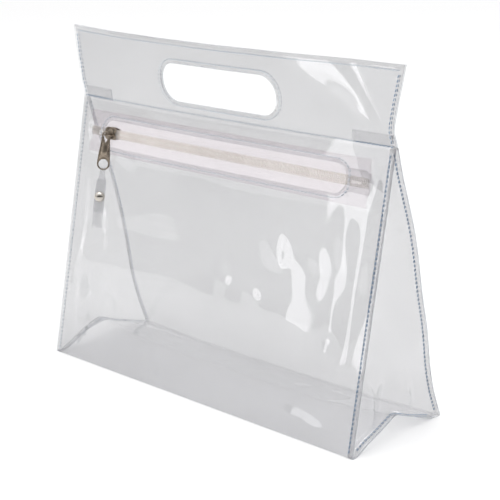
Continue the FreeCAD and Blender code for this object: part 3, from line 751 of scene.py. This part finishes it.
def gusset_piece(side):
    word = "right" if side > 0 else "left"
    points, faces, n_w, n_h = web_grid(side)
    grid = points.reshape(n_h, n_w, 3)
    patches = [(points, faces),
               turned_edge(side, grid[:, 0], "front"),
               turned_edge(side, grid[:, -1], "back"),
               turned_edge(side, grid[0, :], "base")]

    def tab(x, z):
        """The end panel's tip, folded between the handle's plies."""
        y = handle_front(x, np.maximum(z, SEAM_Z))[1]
        return x, y + FILM + PLY_ROOM, z
    patches.append(grid_patch(tab, np.linspace(*TAB_X, 14) * side, np.linspace(*TAB_Z, 5)))
    low_a = np.array([side * 124.0, front_inner(176.0, 124) + 3.2, 176.0])
    low_b = np.array([side * 144.6, front_inner(168.0, 144) + 1.0, 168.0])

    def gore(u, v):
        """The slack film that leads down from the tab to two low corners."""
        top_x = side * (TAB_X[0] + (TAB_X[1] - TAB_X[0]) * u)
        top_y = tab(top_x, np.full_like(top_x, SEAM_Z))[1]
        low = low_a[:, None, None] * (1 - u) + low_b[:, None, None] * u
        sag = 2.4 * np.sin(math.pi * u) * np.sin(math.pi * v)
        return (top_x * (1 - v) + low[0] * v, top_y * (1 - v) + low[1] * v + sag,
                TAB_Z[0] * (1 - v) + low[2] * v)
    if side > 0:
        patches.append(grid_patch(gore, np.linspace(0, 1, 14), np.linspace(0, 1, 12)))
    piece = new_object(f"gusset_film_{word}", weld(f"gusset_film_{word}", patches),
                       material=gusset_film, replaces=[f"gusset_{word}"])
    face_outward(piece.data)
    thicken(piece, thickness=0.3, offset=0.0, edge=film_edge)
    # a triangle with turned edges, a tab above it and, on the right, a gore under the tab
    area = FOOT_Y * PANEL + TURNED * (2 * PANEL + 2 * FOOT_Y)
    area += (TAB_X[1] - TAB_X[0]) * (TAB_Z[1] - TAB_Z[0]) + (GORE_AREA if side > 0 else 0)


for side in (1, -1):
    gusset_piece(side)

# ------------------------------------------------------------------ stitches


def path_length(points):
    return np.concatenate([[0], np.cumsum(np.linalg.norm(np.diff(points, axis=0), axis=1))])


STITCH = 3.1             # length of a stitch
STITCH_GAP = 0.46        # from its end to the middle of its hole
THREAD = 0.3             # half of a thread's thickness


def stitches(name, rows, replaces, thread=blue_thread, seed=1):
    """Rows of lockstitches. Each row is (points, outward direction at each point)."""
    rng = np.random.default_rng(seed)
    points, faces = [], []
    rings, sides = 7, 6
    for line, outward in rows:
        line = np.asarray(line, float)
        outward = np.asarray(outward, float)
        along = path_length(line)
        count = max(int(round(along[-1] / STITCH)), 1)
        each = along[-1] / count
        for k in range(count):
            start = k * each + STITCH_GAP + rng.uniform(-0.06, 0.06)
            end = (k + 1) * each - STITCH_GAP + rng.uniform(-0.06, 0.06)
            ts = np.linspace(start, end, rings)
            centre = np.stack([np.interp(ts, along, line[:, i]) for i in range(3)], axis=1)
            out = np.stack([np.interp(ts, along, outward[:, i]) for i in range(3)], axis=1)
            out /= np.linalg.norm(out, axis=1)[:, None]
            forward = np.gradient(centre, axis=0)
            forward /= np.linalg.norm(forward, axis=1)[:, None]
            across = np.cross(forward, out)
            u = np.linspace(-1, 1, rings)
            lift = 0.24 * (1 - u ** 4) - 0.10
            swing = 0.10 * u + rng.uniform(-0.03, 0.03)
            thick = THREAD * np.sqrt(np.clip(1 - (np.abs(u) ** 5) * 0.85, 0.05, 1))
            first = len(points)
            for i in range(rings):
                for a in range(sides):
                    angle = 2 * math.pi * a / sides
                    p = (centre[i] + out[i] * (lift[i] + thick[i] * math.cos(angle) * 0.75)
                         + across[i] * (swing[i] + thick[i] * math.sin(angle)))
                    points.append(p)
            faces += tube_faces(rings, sides, first)
    mesh = mesh_from(name, points, faces)
    new_object(name, mesh, material=thread, replaces=replaces)


def surface_row(surface, flat_points, lift_side):
    """A line on a surface given by flat points, with its outward direction."""
    flat = np.asarray(flat_points, float)
    x, y = flat[:, 0], flat[:, 1]
    p = stacked(surface(x, y))
    e = 0.4
    n = np.cross(stacked(surface(x + e, y)) - p, stacked(surface(x, y + e)) - p)
    n /= np.linalg.norm(n, axis=1)[:, None]
    want = np.array(lift_side, float)
    n *= np.sign(n @ want)[:, None]
    return p, n


def inside_of(surface, depth, direction):
    """The same surface at some depth below its outer face."""
    def made(x, y):
        p, n = surface_row(surface, np.stack([np.ravel(x), np.ravel(y)], axis=1), direction)
        q = (p - n * depth).T
        return tuple(part.reshape(np.shape(x)) for part in q)
    return made


def handle_rows(flat):
    """The needle's row on the front ply and the bobbin's on the rear one."""
    return [surface_row(handle_front, flat, (0, -1, 0)), surface_row(handle_back, flat, (0, 1, 0))]


def panel_rows(surface, flat, outward, depth=2 * FILM):
    """The needle's row on a panel and the bobbin's below it, inside the bag."""
    inward = tuple(-c for c in outward)
    return [surface_row(surface, flat, outward),
            surface_row(inside_of(surface, depth, outward), flat, inward)]


def round_hole(cx, cy, size, margin=6.0):
    """A closed line of stitching round a long hole."""
    loop = stadium_points(cx, cy, size[0] + margin, size[1] + margin)
    return loop + loop[:1]


EDGE = 3.9               # from a sheet's edge to its stitches
SEAM_LINE = SEAM_Z + 0.5
SEAM_ENDS = 118.0        # the cross seam's bolder ends begin here
SIDES = (("left", -1), ("right", 1))

line = [(x, TOP_Z - EDGE) for x in np.arange(-153.5, 153.6, 2.0)]
stitches("stitches_handle_top", handle_rows(line), ["thread_handle_top"], pale_thread, seed=2)
for word, side in SIDES:
    line = [(side * (float(handle_edge(z, side)) - 3.2), z) for z in np.arange(199.0, 245.0, 1.5)]
    stitches(f"stitches_handle_{word}", handle_rows(line), [f"thread_handle_{word}"], seed=3 + side)
stitches("stitches_hand_slot", handle_rows(round_hole(0, SLOT_Z, SLOT)), ["thread_hand_slot"],
         pale_thread, seed=6)
line = [(x, SEAM_LINE) for x in np.arange(-SEAM_ENDS, SEAM_ENDS + 0.1, 2.0)]
stitches("stitches_cross_seam", handle_rows(line), ["thread_cross_seam"], pale_thread, seed=7)
ends = []
for side in (-1, 1):
    ends += handle_rows([(side * x, SEAM_LINE) for x in np.arange(SEAM_ENDS, 149.1, 2.0)])
stitches("stitches_seam_ends", ends, [], seed=9)
line = round_hole(ZIP_MIDDLE, ZIP_RISE, WINDOW)
stitches("stitches_zip", panel_rows(front_panel, line, (0, -1, 0), FILM + 0.6), ["thread_zip"],
         pale_thread, seed=8)
for word, side in SIDES:
    x = side * (HALF_WIDTH - EDGE)
    rising = [(x, s) for s in np.arange(3.0, PANEL - 3, 2.0)]
    across = [(x, y) for y in np.arange(-36.0, 36.1, 1.5)]
    for place, surface, line, outward, seed in (("front", front_panel, rising, (0, -1, 0), 10),
                                                ("rear", back_panel, rising, (0, 1, 0), 13),
                                                ("base", base_panel, across, (0, 0, -1), 16)):
        stitches(f"stitches_{place}_{word}", panel_rows(surface, line, outward),
                 [f"thread_{place}_{word}"], pale_thread if side < 0 else blue_thread,
                 seed=seed + side)

# ------------------------------------------------------------------ the zip

TAPE_PROFILE = [(2.4, 0.35), (2.4, 5.4), (0.45, 9.4), (0.42, 16.0)]      # depth and width
LEAN_COS, LEAN_SIN = math.cos(LEAN), math.sin(LEAN)


def panel_point(x, y, z):
    """A point of the CAD panel's frame: z up the panel, y into the bag."""
    return (x, -FOOT_Y + y * LEAN_COS + z * LEAN_SIN, -y * LEAN_SIN + z * LEAN_COS)


def along_panel(x, s):
    """How far the drawn film stands in front of the CAD's flat panel."""
    gap = stacked(front_panel(x, s)) - stacked(panel_point(x, 0.0, s))
    return gap @ np.array([0, -LEAN_COS, LEAN_SIN])


def zip_shift(x):
    """The zip follows the film's slow curve along its length."""
    x = np.asarray(x, float)
    above = along_panel(x, np.full(x.shape, ZIP_RISE + 13.0))
    return above * 0.5 + along_panel(x, np.full(x.shape, ZIP_RISE - 13.0)) * 0.5


def tape_piece(word, side):
    depth, across = np.array(TAPE_PROFILE).T
    ws = np.concatenate([np.linspace(0.35, 5.4, 4), np.linspace(6.4, 9.4, 4), np.linspace(10.6, 15.8, 5)])

    def surface(x, w):
        s = ZIP_RISE + side * w
        mix = smooth((w - 8.0) / 3.0)
        front = (1 - mix) * zip_shift(x) + mix * along_panel(x, s)
        return panel_point(x, np.interp(w, across, depth) - front, s)
    mesh = weld(f"zip_tape_{word}_cloth", [grid_patch(surface, np.linspace(*TAPE_X, 136), ws)],
                outward=[(0, -1, 0)])
    piece = new_object(f"tape_cloth_{word}", mesh, material=tape_cloth,
                       replaces=[f"zip_tape_{word}"])
    thicken(piece, thickness=0.55, offset=-1.0)


def tube(points, radius, up, sides=6, squash=(1.0, 1.0)):
    """A tube's points and faces along a line of points."""
    forward = np.gradient(points, axis=0)
    forward /= np.linalg.norm(forward, axis=1)[:, None]
    one = np.cross(forward, np.asarray(up, float))
    one /= np.linalg.norm(one, axis=1)[:, None]
    two = np.cross(one, forward)
    radius = np.broadcast_to(radius, (len(points),))
    out = []
    for i in range(len(points)):
        for a in range(sides):
            angle = 2 * math.pi * a / sides
            out.append(points[i] + radius[i] * (squash[0] * math.cos(angle) * one[i]
                                                + squash[1] * math.sin(angle) * two[i]))
    return np.array(out), tube_faces(len(points), sides)


def coil_piece(word, side):
    """One nylon coil: flattened turns whose heads reach across the zip's middle."""
    pitch, wire = 1.42, 0.34
    turns = int((TAPE_X[1] - TAPE_X[0] - 1) / pitch)
    per = 12
    count = turns * per
    t = np.arange(count + 1) / per
    phase = 2 * math.pi * t
    x = TAPE_X[0] + 0.5 + (t + (0.5 if side < 0 else 0.0)) * pitch
    across = side * (1.62 - 1.55 * np.cos(phase))
    deep = 0.4 + 1.0 - 0.62 * np.sin(phase)
    points = stacked(panel_point(x, deep - zip_shift(x), ZIP_RISE + across))
    mesh = mesh_from(f"coil_turns_{word}", *tube(points, wire, (1.0, 0.05, 0.02)))
    new_object(f"coil_turns_{word}", mesh, material=coil_nylon,
               replaces=[f"zip_coil_{word}"])


def cord_piece(word, side):
    """The filler cord that lies inside a coil."""
    x = np.linspace(TAPE_X[0] + 0.4, TAPE_X[1] - 0.4, 160)
    points = stacked(panel_point(x, 1.4 - zip_shift(x), ZIP_RISE + side * 2.0))
    mesh = mesh_from(f"filler_cord_{word}_mesh", *tube(points, 0.3, (0.1, 0.2, 0.97), sides=8))
    new_object(f"filler_cord_{word}", mesh, material=tape_cloth,
               replaces=[f"zip_cord_{word}"])


for word, side in (("upper", 1), ("lower", -1)):
    tape_piece(word, side)
    coil_piece(word, side)
    cord_piece(word, side)

# ------------------------------------------------------------------ slider, pull, strap, rivet

PULL_TURN = math.radians(44)
ALONG_AXIS = np.array([1.0, 0, 0])
UP_AXIS = np.array([0, LEAN_SIN, LEAN_COS])
IN_AXIS = np.array([0, LEAN_COS, -LEAN_SIN])
BAR = np.array(joint_place("pull_swing"))
STRAP_HINGE = np.array(joint_place("strap_swing"))


def turned_point(origin, points):
    """Points of the pull's own frame: x across it, y through it towards the bag, z up it."""
    points = np.asarray(points, float)
    x, y, z = points[:, 0:1], points[:, 1:2], points[:, 2:3]
    along = x * math.cos(PULL_TURN) - y * math.sin(PULL_TURN)
    inward = x * math.sin(PULL_TURN) + y * math.cos(PULL_TURN)
    return origin + along * ALONG_AXIS + inward * IN_AXIS + z * UP_AXIS


def slider_point(points):
    """Points of the slider's frame: x along the zip, y into the bag, z up the panel."""
    points = np.asarray(points, float)
    origin = np.array(panel_point(SLIDER_X, 0, ZIP_RISE))
    return (origin + points[:, 0:1] * ALONG_AXIS + points[:, 1:2] * IN_AXIS
            + points[:, 2:3] * UP_AXIS)


def join(*pieces):
    points, faces, first = [], [], 0
    for some, more in pieces:
        points.append(np.asarray(some, float))
        faces += [[i + first for i in face] for face in more]
        first += len(some)
    return np.concatenate(points), faces


def moved(piece, offset):
    return piece[0] + np.array(offset), piece[1]


def flat_plate(outer, holes, thickness):
    """A plate in the XZ plane about y = 0, from its outline and the outlines of its holes."""
    loops = [outer, *holes]
    flat, edges = [], []
    for loop in loops:
        edges += ring_row(len(loop), len(flat))
        flat += [tuple(p) for p in loop]
    out = delaunay_2d_cdt([Vector(p) for p in flat], edges, [], 1, 1e-5)
    spots = np.array([tuple(v) for v in out[0]])

    def within(loop, p):
        inside = False
        for (x0, y0), (x1, y1) in zip(loop, list(loop[1:]) + [loop[0]]):
            if (y0 > p[1]) != (y1 > p[1]) and p[0] < (x1 - x0) * (p[1] - y0) / (y1 - y0) + x0:
                inside = not inside
        return inside
    faces = [list(f) for f in out[2]
             if not any(within(hole, spots[list(f)].mean(axis=0)) for hole in holes)]
    half = thickness / 2
    front = np.stack([spots[:, 0], np.full(len(spots), -half), spots[:, 1]], axis=1)
    rear = front + np.array([0, thickness, 0])
    points = np.concatenate([front, rear])
    count = len(spots)
    shell = faces + [[i + count for i in face[::-1]] for face in faces]
    borders = {pair: True for face in faces for pair in zip(face, face[1:] + face[:1])}
    shell += [[j, i, i + count, j + count] for i, j in borders if (j, i) not in borders]
    return points, shell


def arc(radius, start, end, count, cz=0.0):
    """Points round an arc whose middle is at x = 0."""
    return [(radius * math.cos(t), cz + radius * math.sin(t)) for t in np.linspace(start, end, count)]


def circle(cz, radius, count=40):
    turns = [2 * math.pi * i / count for i in range(count)]
    return [(radius * math.cos(t), cz + radius * math.sin(t)) for t in turns]


def closed_tube(line, wide, deep, sides=8):
    """A tube with an oval section along a closed line in the XZ plane, about y = 0."""
    line = np.array([(x, 0, z) for x, z in line], float)
    forward = np.roll(line, -1, axis=0) - np.roll(line, 1, axis=0)
    forward /= np.linalg.norm(forward, axis=1)[:, None]
    across = np.cross(forward, [0, 1.0, 0])
    points = []
    for i in range(len(line)):
        for a in range(sides):
            angle = 2 * math.pi * a / sides
            points.append(line[i] + across[i] * wide * math.cos(angle)
                          + np.array([0, 1.0, 0]) * deep * math.sin(angle))
    return np.array(points), ring_faces(len(line), sides, closed=True)


def lathe(profile, count=40):
    """A turned piece about the y axis from a profile of (radius, y)."""
    points = []
    for radius, y in profile:
        for k in range(count):
            turn = 2 * math.pi * k / count
            points.append((radius * math.cos(turn), y, radius * math.sin(turn)))
    return np.array(points), ring_faces(len(profile), count)


def metal_piece(name, body, place, shape, replaces=(), slot="slider_metal", bevel=0.0):
    """A piece of metal from its points and faces, put in its place by a function."""
    mesh = mesh_from(name, place(shape[0]), shape[1])
    piece = new_object(name, mesh, body=body, material=METALS[slot], replaces=replaces)
    face_outward(mesh)
    if bevel:
        rounder = piece.modifiers.new("edges", "BEVEL")
        rounder.width = bevel * MM
        rounder.segments = 3
        rounder.limit_method = "ANGLE"
        rounder.harden_normals = False
        apply_modifiers(piece)


def at_bar(points):
    return turned_point(BAR, points)


def at_strap(points):
    return turned_point(STRAP_HINGE, points)


# the pull: a thin plate with a raised rim, a teardrop eye above and a ring below
HEAD_Z, HEAD_R = -0.1, 3.2
RING_Z, RING_R, RING_HOLE = -21.6, 4.8, 3.6
EYE_R = 2.1


def pull_outline(inset):
    head, ring = HEAD_R - inset, RING_R - inset
    edge = [(head + (ring - head) * smooth(v), HEAD_Z + (RING_Z - HEAD_Z) * v)
            for v in np.linspace(0, 1, 10)[1:-1]]
    return (arc(head, math.pi, 0, 22, HEAD_Z) + edge + arc(ring, 0, -math.pi, 30, RING_Z)
            + [(-x, z) for x, z in edge[::-1]])


def eye_outline(grow):
    radius = EYE_R + grow
    side_x, side_z = radius * 0.52, -3.4 - grow * 0.6
    foot = [(side_x, side_z), (0, -5.6 - grow * 1.3), (-side_x, side_z)]
    return arc(radius, math.radians(200), math.radians(-20), 26) + foot


ring_line = circle(RING_Z, RING_HOLE + 0.3)
metal_piece("pull_plate", "pull", at_bar, join(
    flat_plate(pull_outline(0.3), [eye_outline(0.25), ring_line], 0.78),
    closed_tube(pull_outline(0.42), 0.42, 0.6),
    closed_tube(eye_outline(0.3), 0.3, 0.52),
    closed_tube(ring_line, 0.34, 0.56)), ["pull_tab"])

# the slider: domed front plate, rear plate, side lips, post and an arched bail
SHIELD_HALF = [(-6.0, 1.4), (-5.2, 3.6), (-3.4, 4.75), (-0.5, 4.75), (3.0, 4.2), (5.6, 3.9),
               (5.95, 3.2), (5.95, 1.5), (5.0, 1.2)]
shield = SHIELD_HALF + [(x, -z) for x, z in SHIELD_HALF[::-1]] + [(-5.3, 0.0)]
lips = []
for sign in (1, -1):
    near, far = sign * 3.75, sign * 4.6
    for start, end in ((-3.4, 0.4), (0.4, 3.4)):
        wall = flat_plate([(start, near), (end, near), (end, far), (start, far)], [], 3.4)
        lips.append(moved(wall, (0, 1.75, 0)))
metal_piece("slider_shell", "slider", slider_point, join(
    moved(flat_plate(shield, [], 1.0), (0, -0.35, 0)),
    moved(flat_plate(shield, [], 1.0), (0, 3.75, 0)), *lips), ["slider_body"], bevel=0.3)
CROWN = [(0.01, -1.05), (1.2, -1.0), (2.4, -0.82), (3.3, -0.5), (3.9, -0.1), (4.1, 0.2)]
crown = lathe(CROWN, 36)
crown[0][:, 2] *= 1.02
metal_piece("slider_crown", "slider", slider_point, moved(crown, (0.2, -0.5, 0)))
BAR_Y = -4.3
ARCH_HALF = [(-3.75, -0.6), (-3.75, -1.8), (-3.75, -2.9), (-3.55, -3.65), (-3.1, -4.1), (-2.3, BAR_Y)]
arch = np.array(ARCH_HALF + [(0, BAR_Y - 0.02)] + [(-x, y) for x, y in ARCH_HALF[::-1]])
fine = np.linspace(0, len(arch) - 1, 49)
steps = np.arange(len(arch))
arch = stacked((np.interp(fine, steps, arch[:, 0]), np.interp(fine, steps, arch[:, 1]), -1.6))
foot = np.clip(np.abs(fine - 6) - 4.6, 0, 2)
bail = tube(slider_point(arch), 0.58 + 0.2 * foot, UP_AXIS, sides=10, squash=(1.25, 0.95))
metal_piece("slider_bail", "slider", np.asarray, bail)

# the strap: one piece of film looped round the ring's rim, its two plies meeting below
LOOP_R = 1.65
PLY_Y = 0.2              # from the strap's middle to the middle of a ply
NECK_Z = -7.6            # the loop closes here
FRONT_END, BACK_END = -44.5, -34.0


def neck(y_side, places):
    """The strap between its closed plies and its loop."""
    return [(y_side * (PLY_Y + (LOOP_R - PLY_Y) * smooth(v)), NECK_Z - NECK_Z * v) for v in places]


strap_line = ([(PLY_Y, z) for z in np.linspace(FRONT_END, NECK_Z, 19)]
              + neck(1, np.linspace(0.12, 0.95, 8)) + arc(LOOP_R, 0, math.pi, 15)
              + neck(-1, np.linspace(0.95, 0.12, 8))
              + [(-PLY_Y, z) for z in np.linspace(NECK_Z, BACK_END, 14)])


def strap_half(z):
    """Half width of the strap, which narrows at its loop."""
    return 2.0 + 1.85 * smooth((-4.5 - z) / 5.5)


cross = np.linspace(-1, 1, 7)
points = [(u * strap_half(z), y, z) for y, z in strap_line for u in cross]
strap = new_object("strap_loop", mesh_from("strap_loop", at_strap(points),
                                           grid_faces(len(cross), len(strap_line))),
                   body="strap", material=strap_film, replaces=["puller_strap"])
thicken(strap, thickness=0.36, offset=0.0, edge=film_edge)

# the rivet: a polished dome in front, a flange behind, as (radius, y)
RIVET = (0, 0, -21.0)
DOME = [(0.01, -3.2), (0.8, -3.16), (1.6, -3.0), (2.4, -2.68), (3.1, -2.2), (3.6, -1.62), (3.9, -1.05),
        (4.0, -0.7), (3.9, -0.48), (3.4, -0.42), (0.01, -0.42)]
FLANGE = [(0.01, -0.4), (1.5, -0.4), (1.5, 0.42), (2.9, 0.42), (3.0, 0.6), (2.85, 0.95), (1.1, 1.0),
          (0.9, 0.8), (0.01, 0.75)]
metal_piece("rivet_dome", "strap", at_strap, moved(lathe(DOME, 48), RIVET), ["rivet_cap"], "rivet_metal")
metal_piece("rivet_rear", "strap", at_strap, moved(lathe(FLANGE), RIVET), ["rivet_post"], "rivet_metal")

# ------------------------------------------------------------------ floor, light and camera

FLOOR = 6000
corners = [(-FLOOR, -FLOOR, 0), (FLOOR, -FLOOR, 0), (FLOOR, FLOOR, 0), (-FLOOR, FLOOR, 0)]
floor_mesh = mesh_from("floor_mesh", corners, [[0, 1, 2, 3]], smooth_shade=False)
floor = bpy.data.objects.new("floor", floor_mesh)
scene.collection.objects.link(floor)
paper, tree = material("pale_paper")
grain = node(tree, "ShaderNodeTexNoise", Scale=300.0, Detail=2.0)
show(tree, node(tree, "ShaderNodeBsdfPrincipled", Base_Color=(0.93, 0.93, 0.93, 1), Roughness=0.9,
                Normal=relief(tree, grain.outputs["Fac"], 0.03, 0.0005)))
floor_mesh.materials.append(paper)

# a white ceiling, a white wall behind the bag, and a dim room on the camera's side
world = bpy.data.worlds.new("studio")
scene.world = world
world.use_nodes = True
tree = world.node_tree
tree.nodes.clear()
around = node(tree, "ShaderNodeTexCoord").outputs["Generated"]
parts = node(tree, "ShaderNodeSeparateXYZ", Vector=around)
LOW_WALL = (0.34, 0.34, 0.345)
walls = ramp(tree, parts.outputs["Z"], (0.0, LOW_WALL), (0.22, LOW_WALL), (0.45, (1.2, 1.2, 1.21)),
             (1.0, 1.25))
toward = node(tree, "ShaderNodeVectorMath", operation="DOT_PRODUCT")
feed(tree, toward.inputs[0], around)
feed(tree, toward.inputs[1], (0.69, -0.72, 0.0))
dim = ramp(tree, toward.outputs["Value"], (0.55, 1.0), (0.85, 0.3))
room_side = mixed_colour(tree, 1.0, walls, dim, blend_type="MULTIPLY")
behind = ramp(tree, parts.outputs["Y"], (0.0, 0.0), (0.25, 1.0))
all_round = mixed_colour(tree, behind, room_side, (1.0, 1.0, 1.0, 1))
show(tree, node(tree, "ShaderNodeBackground", Strength=1.0, Color=all_round), "World")


def softbox(name, place, target, size, power):
    data = bpy.data.lights.new(name, "AREA")
    data.shape = "RECTANGLE"
    data.size, data.size_y = size
    data.energy = power
    lamp = bpy.data.objects.new(name, data)
    scene.collection.objects.link(lamp)
    lamp.location = place
    aim = Vector(target) - Vector(place)
    lamp.rotation_euler = aim.to_track_quat("-Z", "Y").to_euler()


def round_the_bag(azimuth, distance, height):
    """A place at an angle from +X, a distance from the bag's middle and a height."""
    turn = math.radians(azimuth)
    return distance * math.cos(turn), distance * math.sin(turn), height


AIM = (0, 0, 0.12)
softbox("front_strip", round_the_bag(-116, 1.1, 0.225), AIM, (0.2, 0.43), 0.75)
softbox("left_strip", round_the_bag(-160, 1.9, 0.35), AIM, (0.4, 0.9), 1.2)
softbox("top_box", (0.1, -0.2, 1.9), AIM, (1.4, 1.4), 11)
softbox("right_box", round_the_bag(25, 1.9, 0.6), AIM, (0.4, 0.8), 4)

# the camera, fitted to the photograph's own
YAW, PITCH, ROLL = 0.76436, 0.29466, -0.02039
TARGET = (19.875, 0.0, 105.273)
DISTANCE = 977.02
FOCAL, IMAGE = 1387.8, 500.0       # both in the image's own units
SENSOR = 36.0
back = Vector((math.sin(YAW) * math.cos(PITCH), -math.cos(YAW) * math.cos(PITCH), math.sin(PITCH)))
right = Vector((math.cos(YAW), math.sin(YAW), 0))
up = back.cross(right)
side_axis = right * math.cos(ROLL) + up * math.sin(ROLL)
up_axis = up * math.cos(ROLL) - right * math.sin(ROLL)
camera_data = bpy.data.cameras.new("camera")
camera_data.sensor_width = SENSOR
camera_data.lens = FOCAL * SENSOR / IMAGE
camera = bpy.data.objects.new("camera", camera_data)
scene.collection.objects.link(camera)
spot = Vector(TARGET) * MM + back * DISTANCE * MM
turn = Matrix((side_axis, up_axis, back)).transposed().to_4x4()
camera.matrix_world = Matrix.Translation(spot) @ turn
scene.camera = camera
scene.view_settings.view_transform = "Standard"
scene.cycles.transparent_max_bounces = 32
